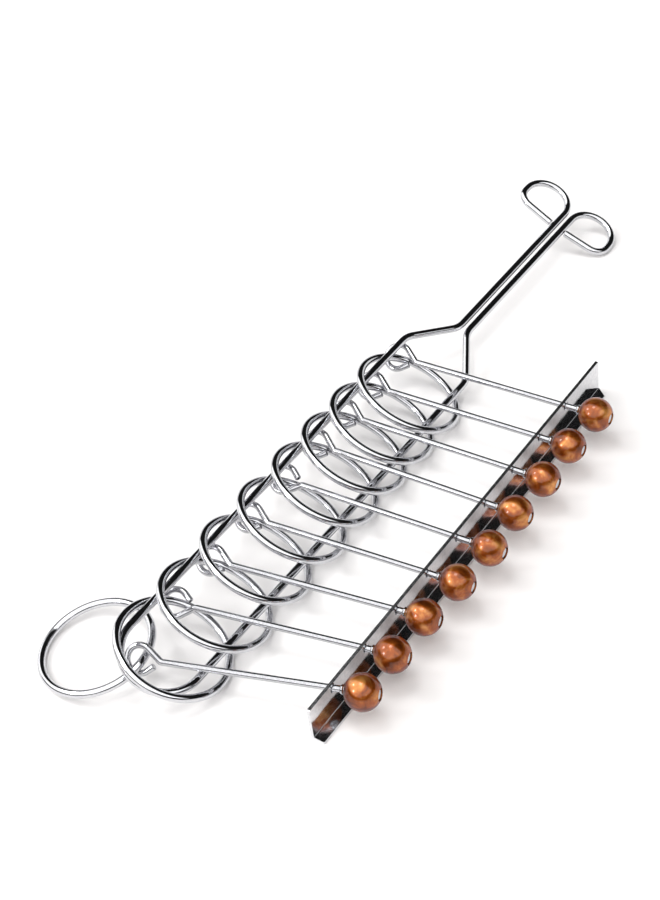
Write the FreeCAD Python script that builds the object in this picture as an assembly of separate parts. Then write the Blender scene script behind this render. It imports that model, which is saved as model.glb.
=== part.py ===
import FreeCAD, Part
import math
import os

# A nine-ring linked puzzle, in millimetres.
#
# A folded steel bar stands on the table. Nine rods hang in its holes, each with
# a bead on the outer end and an eye bent round at the inner end. Each eye holds
# one ring. A long wire shuttle with a scissor handle runs through rings 2 to 9,
# over their eyes on the left and under their rods on the right. Ring 1 is off
# the nose.
#
# +Y runs along the bar towards the handle, +X points from the eyes to the beads,
# and +Z is up. The origin is the middle of the bar's resting face.

V = FreeCAD.Vector

# Wire
STEEL_R = 1.25          # rings and shuttle are the same 2.5 mm wire
ROD_R = 1.0             # rods are 2 mm wire
CUT_ROUND = 0.35        # rounding of a cut wire end

# Base bar
PITCH = 16.0            # from one rod's hole to the next
COUNT = 9
BAR_LENGTH = 160.0
BAR_FRONT = 11.0        # from the first hole to the bar's front end
BAR_HEIGHT = 12.4
BAR_FLANGE = 4.4        # over the sheet, across the foot
SHEET = 1.0
BAR_BEND = 0.3          # inner bend radius
BAR_CORNER = 0.4        # rounding of the sheet's corners
MITRE = 2.4             # cut off the foot's outer corner at the far end
HOLE_HEIGHT = 10.3
HOLE_R = 1.4

# Rods and beads
ROD_LENGTH = 52.8       # from the bar's web to the point where the eye starts
EYE_R = 4.0             # centre line of the eye's round end
EYE_ANGLE = 38.0        # half angle between the eye's two straight sides
EYE_BEND = 1.6          # centre line radius of the bend at the neck
EYE_CUT = 2.4           # from the neck to the cut end of the wire
BEAD_R = 5.4
BEAD_AT = (7.1, 7.9, 8.5, 9.8, 10.8, 10.2, 10.3, 10.0, 10.5)  # centre from the rod's zero mark
BEAD_FLAT = 0.25        # height of the cap turned off at each mouth
BORE_R = 1.08
SINK_R = 1.85           # counterbore for the rod's riveted head
SINK_DEPTH = 1.3
HEAD_R = 1.65
HEAD_THICK = 0.8
COLLAR_R = 1.45         # crimp that stops the bead on the inner side
COLLAR_LENGTH = 1.0
COLLAR_EDGE = 0.3       # chamfer of the crimp's rims
END_PLAY = 0.12         # bead's play between collar and head

# Rings
RING_R = 16.85          # centre line
TABLE_GAP = 0.1         # all the wire lies this far above the table

# Shuttle, along its own axis from the centre of the nose
RAIL_HALF = 12.2        # half of the distance between the two rails
RAIL_LENGTH = 140.0
NECK_ANGLE = 33.0
NECK_R = 8.0
SHANK_HALF = 1.6
SHANK_LENGTH = 68.0
LOOP_R = 8.0
LOOP_SIDE = 1.5
LOOP_TURN = 85.0
LOOP_CORNER_R = 5.0
LOOP_TAIL = 10.0

# How everything lies on the table. A list has one value for each rod or ring.
SHUTTLE_ACROSS = -48.3               # nose centre from the web, along X
SHUTTLE_BACK = -77.68                # nose centre from the middle hole, along Y
SHUTTLE_HEIGHT = 10.35
SHUTTLE_ROLL = 24.87                 # left rail up
SHUTTLE_PITCH = -0.4                 # handle down
SHUTTLE_YAW = -0.16
ROD_YAW = (17.15, 12.64, 10.18, 6.68, 4.48, 3.1, 3.49, 4.21, 4.39)
ROD_RISE = (3.26, 0.79, 0.52, 0.52, 0.52, 0.52, 0.52, 0.52, 0.52)
ROD_SPIN = (48.2, 35.1, 35.1, 35.1, 35.1, 35.1, 35.1, 35.1, 35.1)
ROD_OUT = (1.74, 0.4, 0.0, 0.0, 0.0, 0.0, 0.0, 0.0, 0.0)
TURNED_OVER = (2, 5)                 # rods whose eye lies the other way up
RING_ACROSS = (-70.78, -47.36, -46.64, -46.64, -46.64, -46.64, -46.64, -46.64, -46.64)
RING_BACK = (18.28, 26.48, 23.68, 19.88, 17.57, 16.18, 16.59, 17.13, 17.53)
RING_LEAN_LEFT = (-8.2, 25.0, 23.0, 23.0, 23.0, 23.0, 23.0, 23.0, 23.0)
RING_LEAN_FRONT = (-5.3, 16.4, 21.9, 24.2, 23.8, 22.8, 22.0, 19.9, 20.2)

WEB_X = SHEET / 2 - BAR_FLANGE / 2   # middle of the web's thickness
MIDDLE_HOLE_Y = BAR_FRONT + (COUNT - 1) / 2 * PITCH - BAR_LENGTH / 2


def hole_centre(number):
    """Where a rod passes through the middle of the web."""
    from_middle = (number - (COUNT + 1) / 2) * PITCH
    return V(WEB_X, MIDDLE_HOLE_Y + from_middle, HOLE_HEIGHT)


def bent_path(start, heading, steps):
    """Edges of a bent wire's centre line in the XY plane, and where it ends.

    A step is ("run", length) or ("turn", radius, degrees), with left turns
    positive, as a wire bender would read it.
    """
    edges = []
    place = V(start)
    for step in steps:
        along = V(math.cos(heading), math.sin(heading), 0)
        if step[0] == "run":
            end = place + along * step[1]
            edges.append(Part.LineSegment(place, end).toShape())
        else:
            radius, angle = step[1], math.radians(step[2])
            side = math.copysign(1, angle)
            to_centre = V(-along.y, along.x, 0) * side * radius
            centre = place + to_centre
            points = []
            for part in (0.5, 1.0):
                turned = FreeCAD.Rotation(V(0, 0, 1), math.degrees(angle) * part)
                points.append(centre + turned.multVec(-to_centre))
            edges.append(Part.Arc(place, points[0], points[1]).toShape())
            end = points[1]
            heading += angle
        place = end
    return edges, place


def drawn_wire(edges, start, tangent, radius):
    """Round wire along a path."""
    ring = Part.Wire([Part.makeCircle(radius, start, tangent)])
    return Part.Wire(edges).makePipeShell([ring], True, False)


def round_cut_end(solid, end):
    """Take the sharp edge off the cut end of a wire."""
    rims = []
    for edge in solid.Edges:
        circle = edge.Curve
        if isinstance(circle, Part.Circle) and circle.Center.distanceToPoint(end) < 0.01:
            rims.append(edge)
    return solid.makeFillet(CUT_ROUND, rims)


def make_base_bar():
    """Folded angle with one hole for each rod."""
    outer = BAR_BEND + SHEET
    left = -BAR_FLANGE / 2
    right = BAR_FLANGE / 2
    diagonal = math.sqrt(0.5)
    lower = Part.Arc(
        V(left, 0, outer),
        V(left + outer * (1 - diagonal), 0, outer * (1 - diagonal)),
        V(left + outer, 0, 0),
    )
    upper = Part.Arc(
        V(left + outer, 0, SHEET),
        V(left + outer - BAR_BEND * diagonal, 0, outer - BAR_BEND * diagonal),
        V(left + SHEET, 0, outer),
    )
    outline = Part.Wire([
        lower.toShape(),
        Part.LineSegment(V(left + outer, 0, 0), V(right, 0, 0)).toShape(),
        Part.LineSegment(V(right, 0, 0), V(right, 0, SHEET)).toShape(),
        Part.LineSegment(V(right, 0, SHEET), V(left + outer, 0, SHEET)).toShape(),
        upper.toShape(),
        Part.LineSegment(V(left + SHEET, 0, outer), V(left + SHEET, 0, BAR_HEIGHT)).toShape(),
        Part.LineSegment(V(left + SHEET, 0, BAR_HEIGHT), V(left, 0, BAR_HEIGHT)).toShape(),
        Part.LineSegment(V(left, 0, BAR_HEIGHT), V(left, 0, outer)).toShape(),
    ])
    bar = Part.Face(outline).extrude(V(0, BAR_LENGTH, 0))
    bar.translate(V(0, -BAR_LENGTH / 2, 0))

    corners = []
    for edge in bar.Edges:
        middle = edge.CenterOfMass
        at_end = abs(abs(middle.y) - BAR_LENGTH / 2) < 0.01
        web_top = abs(middle.z - BAR_HEIGHT) < 0.01
        foot_edge = abs(middle.x - right) < 0.01
        if at_end and (web_top or foot_edge):
            corners.append(edge)
    bar = bar.makeFillet(BAR_CORNER, corners)

    far = BAR_LENGTH / 2
    wedge = Part.makePolygon([
        V(left + outer, far, -SHEET), V(right, far - MITRE, -SHEET), V(right + MITRE, far - MITRE, -SHEET),
        V(right + MITRE, far + MITRE, -SHEET), V(left + outer, far + MITRE, -SHEET),
        V(left + outer, far, -SHEET)])
    bar = bar.cut(Part.Face(wedge).extrude(V(0, 0, 3 * SHEET)))

    for number in range(1, COUNT + 1):
        mouth = hole_centre(number) - V(SHEET, 0, 0)
        bar = bar.cut(Part.makeCylinder(HOLE_R, 2 * SHEET, mouth, V(1, 0, 0)))
    return bar


def eye_steps():
    """Bends of a rod, from the middle of the web to the cut end of its eye."""
    angle = math.radians(EYE_ANGLE)
    corner_cut = EYE_BEND * math.tan(angle / 2)
    side = EYE_R / math.tan(angle)
    return [
        ("run", ROD_LENGTH - corner_cut),
        ("turn", EYE_BEND, -EYE_ANGLE),
        ("run", side - corner_cut),
        ("turn", EYE_R, 180 + 2 * EYE_ANGLE),
        ("run", side - EYE_CUT),
    ]


def rod_placement(number):
    """From a rod's own frame, +X along it towards the bead, to the table."""
    spin = ROD_SPIN[number - 1]
    if number in TURNED_OVER:
        spin += 180
    turned = FreeCAD.Rotation(V(0, 0, 1), ROD_YAW[number - 1])
    turned = turned.multiply(FreeCAD.Rotation(V(0, 1, 0), -ROD_RISE[number - 1]))
    turned = turned.multiply(FreeCAD.Rotation(V(1, 0, 0), spin))
    pulled_out = turned.multVec(V(ROD_OUT[number - 1], 0, 0))
    return FreeCAD.Placement(hole_centre(number) + pulled_out, turned)


def bead_faces(number):
    """The bead's inner and outer mouths along the rod."""
    reach = BEAD_R - BEAD_FLAT
    return BEAD_AT[number - 1] - reach, BEAD_AT[number - 1] + reach


def make_rod(number):
    """Straight rod with its eye, the crimp inside the bead and the riveted head."""
    inner, outer = bead_faces(number)
    head_seat = outer - SINK_DEPTH + END_PLAY
    edges, cut_end = bent_path(V(0, 0, 0), math.pi, eye_steps())
    rod = drawn_wire(edges, V(0, 0, 0), V(1, 0, 0), ROD_R)
    rod = round_cut_end(rod, cut_end)
    shank = Part.makeCylinder(ROD_R, head_seat + HEAD_THICK / 2, V(0, 0, 0), V(1, 0, 0))
    head = Part.makeCylinder(HEAD_R, HEAD_THICK, V(head_seat, 0, 0), V(1, 0, 0))
    rim = [edge for edge in head.Edges if abs(edge.CenterOfMass.x - head_seat - HEAD_THICK) < 0.01]
    head = head.makeFillet(HEAD_THICK / 2, rim)
    collar_start = V(inner - END_PLAY - COLLAR_LENGTH, 0, 0)
    collar = Part.makeCylinder(COLLAR_R, COLLAR_LENGTH, collar_start, V(1, 0, 0))
    collar = collar.makeChamfer(COLLAR_EDGE, collar.Edges[:1] + collar.Edges[2:3])
    rod = rod.multiFuse([shank, head, collar]).removeSplitter()
    rod.Placement = rod_placement(number)
    return rod


def make_bead(number):
    """Drilled ball with flat mouths and a counterbore for the rod's head."""
    inner, outer = bead_faces(number)
    ball = Part.makeSphere(BEAD_R, V(BEAD_AT[number - 1], 0, 0))
    slab = Part.makeBox(outer - inner, 4 * BEAD_R, 4 * BEAD_R, V(inner, -2 * BEAD_R, -2 * BEAD_R))
    bead = ball.common(slab)
    bead = bead.cut(Part.makeCylinder(BORE_R, 4 * BEAD_R, V(inner - BEAD_R, 0, 0), V(1, 0, 0)))
    sink = Part.makeCylinder(SINK_R, BEAD_R, V(outer - SINK_DEPTH, 0, 0), V(1, 0, 0))
    bead = bead.cut(sink)
    bead.Placement = rod_placement(number)
    return bead


def ring_placement(number):
    """A ring leans over, with its lowest point just above the table."""
    rise_left = math.tan(math.radians(RING_LEAN_LEFT[number - 1]))
    rise_front = math.tan(math.radians(RING_LEAN_FRONT[number - 1]))
    slope = math.hypot(rise_left, rise_front)
    height = TABLE_GAP + STEEL_R + RING_R * slope / math.hypot(1, slope)
    centre = hole_centre(number) + V(RING_ACROSS[number - 1], -RING_BACK[number - 1], 0)
    centre.z = height
    normal = V(rise_left, rise_front, 1)
    return FreeCAD.Placement(centre, FreeCAD.Rotation(V(0, 0, 1), normal))


def make_ring(number):
    ring = Part.makeTorus(RING_R, STEEL_R)
    ring.Placement = ring_placement(number)
    return ring


def shuttle_steps():
    """Bends of half the shuttle, from the tip of the nose to a loop's cut end."""
    angle = math.radians(NECK_ANGLE)
    sideways = RAIL_HALF - SHANK_HALF - 2 * NECK_R * (1 - math.cos(angle))
    return [
        ("turn", RAIL_HALF, 90),
        ("run", RAIL_LENGTH),
        ("turn", NECK_R, NECK_ANGLE),
        ("run", sideways / math.sin(angle)),
        ("turn", NECK_R, -NECK_ANGLE),
        ("run", SHANK_LENGTH),
        ("turn", LOOP_R, -180),
        ("run", LOOP_SIDE),
        ("turn", LOOP_CORNER_R, -LOOP_TURN),
        ("run", LOOP_TAIL),
    ]


def make_shuttle():
    """One wire, the same on both sides of the nose."""
    tip = V(0, -RAIL_HALF, 0)
    edges, cut_end = bent_path(tip, 0.0, shuttle_steps())
    half = drawn_wire(edges, tip, V(1, 0, 0), STEEL_R)
    half = round_cut_end(half, cut_end)
    shuttle = half.fuse(half.mirror(V(0, 0, 0), V(1, 0, 0))).removeSplitter()
    rolled = FreeCAD.Rotation(V(0, 1, 0), SHUTTLE_ROLL)
    rolled = FreeCAD.Rotation(V(1, 0, 0), SHUTTLE_PITCH).multiply(rolled)
    rolled = FreeCAD.Rotation(V(0, 0, 1), SHUTTLE_YAW).multiply(rolled)
    middle = hole_centre((COUNT + 1) / 2)
    place = V(middle.x + SHUTTLE_ACROSS, middle.y + SHUTTLE_BACK, SHUTTLE_HEIGHT)
    shuttle.Placement = FreeCAD.Placement(place, rolled)
    return shuttle


def save(name, shape):
    solids = shape.Solids
    assert len(solids) == 1 and shape.isValid(), name
    shape.exportStep("parts/" + name + ".step")


os.makedirs("parts", exist_ok=True)
save("base_bar", make_base_bar())
save("shuttle", make_shuttle())
for ring_number in range(1, COUNT + 1):
    save("rod_%d" % ring_number, make_rod(ring_number))
    save("bead_%d" % ring_number, make_bead(ring_number))
    save("ring_%d" % ring_number, make_ring(ring_number))
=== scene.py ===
# %% [markdown]
# # A nine-ring linked puzzle
#
# The object lies on a white table: a long chromed wire shuttle with two finger
# loops, nine chromed rings, nine thin rods that each hold one ring, nine
# lacquered beads, and a folded steel bar that the rods hang in. The packed
# model already gives every piece its true shape and place. This lesson adds what
# a maker sees: the finishes, the duller sheared edge of the bar's sheet, and the
# light of a small studio.

# %% Load the frame
import math

import bpy
from mathutils import Matrix, Vector


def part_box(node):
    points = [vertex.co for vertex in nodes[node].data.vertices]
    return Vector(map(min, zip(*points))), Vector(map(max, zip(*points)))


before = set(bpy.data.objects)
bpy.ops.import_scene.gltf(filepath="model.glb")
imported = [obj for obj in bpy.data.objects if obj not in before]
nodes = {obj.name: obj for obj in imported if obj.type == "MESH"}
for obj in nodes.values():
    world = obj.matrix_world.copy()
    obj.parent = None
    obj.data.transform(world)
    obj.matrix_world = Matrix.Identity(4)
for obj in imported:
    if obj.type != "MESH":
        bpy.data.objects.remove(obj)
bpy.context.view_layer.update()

# %% [markdown]
# Lengths are easier to think about in millimetres, and colours in the hex codes
# of a paint chart. Blender wants metres and linear light, so two short helpers
# turn one into the other. A third adds one shader node with its settings and
# its incoming links, which keeps each finish readable as a list of steps.

# %% Helpers
MM = 0.001
NUMBERS = range(1, 10)


def linear(colour):
    """A #RRGGBB colour as linear light, with full alpha."""
    levels = [int(colour[i:i + 2], 16) / 255 for i in (1, 3, 5)]
    return [c / 12.92 if c <= 0.04045 else ((c + 0.055) / 1.055) ** 2.4 for c in levels] + [1.0]


def add_node(tree, kind, values=None, links=None, **settings):
    """A shader node with its settings, its input values and its incoming links."""
    new = tree.nodes.new(kind)
    for name, value in settings.items():
        setattr(new, name, value)
    for socket, value in (values or {}).items():
        new.inputs[socket].default_value = value
    for socket, source in (links or {}).items():
        tree.links.new(source, new.inputs[socket])
    return new


def set_stops(ramp, stops):
    """Puts (position, colour) stops on a colour ramp."""
    row = ramp.color_ramp.elements
    while len(row) < len(stops):
        row.new(0.5)
    for element, (place, colour) in zip(row, stops):
        element.position = place
        element.color = colour
    return ramp


print("helpers ready, one millimetre is", MM, "m")

# %% [markdown]
# ## The camera
#
# The puzzle is seen from the front right, looking down at about 44 degrees, so
# that the shuttle runs away to the upper right. A long lens from half a metre
# keeps the bar and the shuttle nearly parallel. The camera is turned a little
# about its own axis, as a hand-held one is.

# %% Camera
bpy.context.scene.view_settings.view_transform = "Standard"
LOOK_AT = Vector((-62.3, 15.5, 0.0)) * MM
AZIMUTH, ELEVATION, ROLL = math.radians(-40.52), math.radians(43.54), math.radians(-8.33)
DISTANCE = 560 * MM

forward = Vector((math.sin(AZIMUTH) * math.cos(ELEVATION),
                  math.cos(AZIMUTH) * math.cos(ELEVATION),
                  -math.sin(ELEVATION)))
level = Vector((math.cos(AZIMUTH), -math.sin(AZIMUTH), 0.0))
upward = level.cross(forward)
across = level * math.cos(ROLL) + upward * math.sin(ROLL)
upward = upward * math.cos(ROLL) - level * math.sin(ROLL)

lens = bpy.data.cameras.new("camera")
lens.lens = 70.4
lens.sensor_width = 36.0
camera = bpy.data.objects.new("camera", lens)
turn = Matrix((across, upward, -forward)).transposed().to_4x4()
camera.matrix_world = Matrix.Translation(LOOK_AT - forward * DISTANCE) @ turn
bpy.context.scene.collection.objects.link(camera)
bpy.context.scene.camera = camera
print("camera stands", round(camera.location.z * 1000), "mm above the table")

# %% [markdown]
# ## The studio
#
# Polished wire has almost no colour of its own: it shows the room. A product
# photographer stands it on white paper, hangs large soft boxes round it and
# leaves dark gaps between them, because the gaps draw the black lines that make
# the wire look like metal. The room here is a world shader, white all round
# but for a dark wall behind the handle, a dark patch low on the right and a
# dark strip low in front. Three area lamps hang in it. The key is nearly
# overhead and draws the short soft shadows, and the other two put small
# highlights on the beads.

# %% Table
bpy.ops.mesh.primitive_plane_add(size=6.0, location=(0.0, 0.0, 0.0))
table = bpy.context.active_object
table.name = "table"
paper = bpy.data.materials.new("matt white paper")
paper.use_nodes = True
sheet = paper.node_tree.nodes["Principled BSDF"]
sheet.inputs["Base Color"].default_value = linear("#F7F5F4")
sheet.inputs["Roughness"].default_value = 0.85
sheet.inputs["Specular IOR Level"].default_value = 0.2
table.data.materials.append(paper)
print("table is", table.dimensions.x, "m wide")

# %% Room
room = bpy.data.worlds.new("room")
bpy.context.scene.world = room
room.use_nodes = True
air = room.node_tree
air.nodes.clear()
heading = add_node(air, "ShaderNodeTexCoord")
axes = add_node(air, "ShaderNodeSeparateXYZ", links={0: heading.outputs["Generated"]})
behind = add_node(air, "ShaderNodeMapRange", {"From Min": 0.2, "From Max": 0.3},
                  {0: axes.outputs["Y"]}, interpolation_type="SMOOTHSTEP")
above = add_node(air, "ShaderNodeMapRange", {"From Min": 0.16, "From Max": 0.22},
                 {0: axes.outputs["Z"]}, interpolation_type="SMOOTHSTEP")
wall = add_node(air, "ShaderNodeMath", links={0: behind.outputs[0], 1: above.outputs[0]},
                operation="MULTIPLY")
right = add_node(air, "ShaderNodeMapRange", {"From Min": 0.35, "From Max": 0.5},
                 {0: axes.outputs["X"]}, interpolation_type="SMOOTHSTEP")
low_down = add_node(air, "ShaderNodeMapRange", {"From Min": 0.52, "From Max": 0.44},
                    {0: axes.outputs["Z"]}, interpolation_type="SMOOTHSTEP")
side = add_node(air, "ShaderNodeMath", links={0: right.outputs[0], 1: above.outputs[0]},
                operation="MULTIPLY")
side = add_node(air, "ShaderNodeMath", links={0: side.outputs[0], 1: low_down.outputs[0]},
                operation="MULTIPLY")
gap = add_node(air, "ShaderNodeMath", links={0: wall.outputs[0], 1: side.outputs[0]},
               operation="MAXIMUM")
near = add_node(air, "ShaderNodeMapRange", {"From Min": -0.15, "From Max": -0.3},
                {0: axes.outputs["Y"]}, interpolation_type="SMOOTHSTEP")
lifted = add_node(air, "ShaderNodeMapRange", {"From Min": 0.03, "From Max": 0.09},
                  {0: axes.outputs["Z"]}, interpolation_type="SMOOTHSTEP")
ending = add_node(air, "ShaderNodeMapRange", {"From Min": 0.40, "From Max": 0.30},
                  {0: axes.outputs["Z"]}, interpolation_type="SMOOTHSTEP")
strip = add_node(air, "ShaderNodeMath", links={0: near.outputs[0], 1: lifted.outputs[0]},
                 operation="MULTIPLY")
strip = add_node(air, "ShaderNodeMath", links={0: strip.outputs[0], 1: ending.outputs[0]},
                 operation="MULTIPLY")
gap = add_node(air, "ShaderNodeMath", links={0: gap.outputs[0], 1: strip.outputs[0]},
               operation="MAXIMUM")
WHITE_LOW, WHITE_HIGH, DARK = 0.95, 1.85, 0.012
raised = add_node(air, "ShaderNodeMapRange",
                  {"From Min": 0.14, "From Max": 0.24, "To Min": WHITE_LOW, "To Max": WHITE_HIGH},
                  {0: axes.outputs["Z"]}, interpolation_type="SMOOTHSTEP")
grey = add_node(air, "ShaderNodeMapRange", {"To Max": DARK},
                {0: gap.outputs[0], "To Min": raised.outputs[0]})
tone = add_node(air, "ShaderNodeCombineColor",
                links={0: grey.outputs[0], 1: grey.outputs[0], 2: grey.outputs[0]})
glow = add_node(air, "ShaderNodeBackground", {"Strength": 1.0},
                {"Color": tone.outputs[0]})
add_node(air, "ShaderNodeOutputWorld", links={"Surface": glow.outputs[0]})
print("room is white, with dark patches behind, low on the right and low in front")


# %% Lamps
def soft_box(name, place, aim, size, watts):
    """A square area lamp at one place, in metres, turned towards another."""
    lamp = bpy.data.lights.new(name, "AREA")
    lamp.size = size
    lamp.energy = watts
    holder = bpy.data.objects.new(name, lamp)
    holder.location = place
    holder.rotation_euler = (Vector(aim) - Vector(place)).to_track_quat("-Z", "Y").to_euler()
    bpy.context.scene.collection.objects.link(holder)
    return holder


MIDDLE = (-0.05, 0.02, 0.0)
key = soft_box("key", (-0.18, 0.02, 0.95), MIDDLE, 0.26, 1.2)
front = soft_box("front", (-0.40, -0.62, 0.50), MIDDLE, 0.16, 1.2)
fill = soft_box("fill", (-0.62, -0.20, 0.60), MIDDLE, 0.14, 0.9)
print("lamps:", key.name, front.name, fill.name)

# %% [markdown]
# ## Nickel-plated wire
#
# The rings and the shuttle are steel wire, bent and then plated with bright
# nickel. The plating is mirror smooth, so the metal gets a very low roughness.
# Handling leaves a soft haze, which a fine noise adds to the roughness. A second,
# slower noise gives the surface a very weak waviness. The rods are drawn wire and
# the bar is rolled sheet, so both are a little less smooth.

# %% Wire finish
def bright_metal(name, tint, shade, smooth, haze, waviness, grain_mm):
    """Polished plated metal with a faint haze and waviness."""
    finish = bpy.data.materials.new(name)
    finish.use_nodes = True
    tree = finish.node_tree
    shader = tree.nodes["Principled BSDF"]
    shader.inputs["Metallic"].default_value = 1.0
    place = add_node(tree, "ShaderNodeTexCoord")
    cloud = add_node(tree, "ShaderNodeTexNoise", {"Scale": 1 / (grain_mm * MM), "Detail": 4.0},
                     {"Vector": place.outputs["Object"]})
    colour = add_node(tree, "ShaderNodeValToRGB", links={0: cloud.outputs["Fac"]})
    set_stops(colour, [(0.35, linear(shade)), (0.65, linear(tint))])
    gloss = add_node(tree, "ShaderNodeMapRange",
                     {"From Min": 0.3, "From Max": 0.75, "To Min": smooth, "To Max": haze},
                     {0: cloud.outputs["Fac"]})
    swell = add_node(tree, "ShaderNodeTexNoise", {"Scale": 1 / (3.0 * MM), "Detail": 1.0},
                     {"Vector": place.outputs["Object"]})
    relief = add_node(tree, "ShaderNodeBump", {"Strength": waviness, "Distance": 0.1 * MM},
                      {"Height": swell.outputs["Fac"]})
    tree.links.new(colour.outputs["Color"], shader.inputs["Base Color"])
    tree.links.new(gloss.outputs["Result"], shader.inputs["Roughness"])
    tree.links.new(relief.outputs["Normal"], shader.inputs["Normal"])
    return finish


def dress(node_name, finish):
    """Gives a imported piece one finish."""
    piece = nodes[node_name]
    piece.data.materials.clear()
    piece.data.materials.append(finish)


nickel = bright_metal("bright nickel plate on steel wire", "#D2D2D5", "#C4C5C9", 0.04, 0.09, 0.2, 0.6)
drawn = bright_metal("bright drawn steel wire", "#C4C4C7", "#AEAFB3", 0.06, 0.13, 0.2, 0.35)
folded = bright_metal("polished sheet steel", "#E2E2E4", "#D0D1D4", 0.07, 0.14, 0.3, 0.9)

# The sheared top edge of the sheet was never polished, so it shines less.
EDGE_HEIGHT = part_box("base_bar")[1][2]
tree = folded.node_tree
shader = tree.nodes["Principled BSDF"]
place = add_node(tree, "ShaderNodeTexCoord")
spot = add_node(tree, "ShaderNodeSeparateXYZ", links={0: place.outputs["Object"]})
sheared = add_node(tree, "ShaderNodeMapRange",
                   {"From Min": EDGE_HEIGHT - 0.08 * MM, "From Max": EDGE_HEIGHT - 0.03 * MM,
                    "To Max": 0.13}, {0: spot.outputs["Z"]})
polished = shader.inputs["Roughness"].links[0].from_socket
duller = add_node(tree, "ShaderNodeMath", links={0: polished, 1: sheared.outputs[0]},
                  operation="ADD")
tree.links.new(duller.outputs[0], shader.inputs["Roughness"])

dress("shuttle", nickel)
dress("base_bar", folded)
for number in NUMBERS:
    dress("ring_%d" % number, nickel)
    dress("rod_%d" % number, drawn)
print("finishes:", nickel.name, "/", drawn.name, "/", folded.name)

# %% [markdown]
# ## Lacquered beads
#
# Each bead is turned wood, drilled, and dipped in a copper-brown pearl lacquer.
# Mica in the lacquer gives a soft metallic glow under a hard clear coat, and the
# colour is deeper where the coat ran thick. So the finish is mostly metallic, has
# a clear coat, and its colour follows a slow cloud. A brown specular tint keeps
# the rim of each bead dark.

# %% Bead finish
pearl = bpy.data.materials.new("copper-brown pearl lacquer")
pearl.use_nodes = True
tree = pearl.node_tree
shader = tree.nodes["Principled BSDF"]
shader.inputs["Metallic"].default_value = 0.85
shader.inputs["Specular Tint"].default_value = linear("#7A4226")
shader.inputs["Coat Weight"].default_value = 0.9
shader.inputs["Coat Roughness"].default_value = 0.08
place = add_node(tree, "ShaderNodeTexCoord")
cloud = add_node(tree, "ShaderNodeTexNoise",
                 {"Scale": 1 / (4.0 * MM), "Detail": 3.0, "Distortion": 0.6},
                 {"Vector": place.outputs["Object"]})
colour = add_node(tree, "ShaderNodeValToRGB", links={0: cloud.outputs["Fac"]})
set_stops(colour, [(0.3, linear("#622C0C")), (0.5, linear("#984C18")),
                   (0.72, linear("#CE8C48"))])
mica = add_node(tree, "ShaderNodeTexNoise", {"Scale": 1 / (0.25 * MM), "Detail": 2.0},
                {"Vector": place.outputs["Object"]})
rough = add_node(tree, "ShaderNodeMapRange",
                 {"From Min": 0.3, "From Max": 0.7, "To Min": 0.32, "To Max": 0.46},
                 {0: mica.outputs["Fac"]})
relief = add_node(tree, "ShaderNodeBump", {"Strength": 0.12, "Distance": 0.05 * MM},
                  {"Height": mica.outputs["Fac"]})
tree.links.new(colour.outputs["Color"], shader.inputs["Base Color"])
tree.links.new(rough.outputs["Result"], shader.inputs["Roughness"])
tree.links.new(relief.outputs["Normal"], shader.inputs["Normal"])
for number in NUMBERS:
    dress("bead_%d" % number, pearl)
print("beads wear", pearl.name)
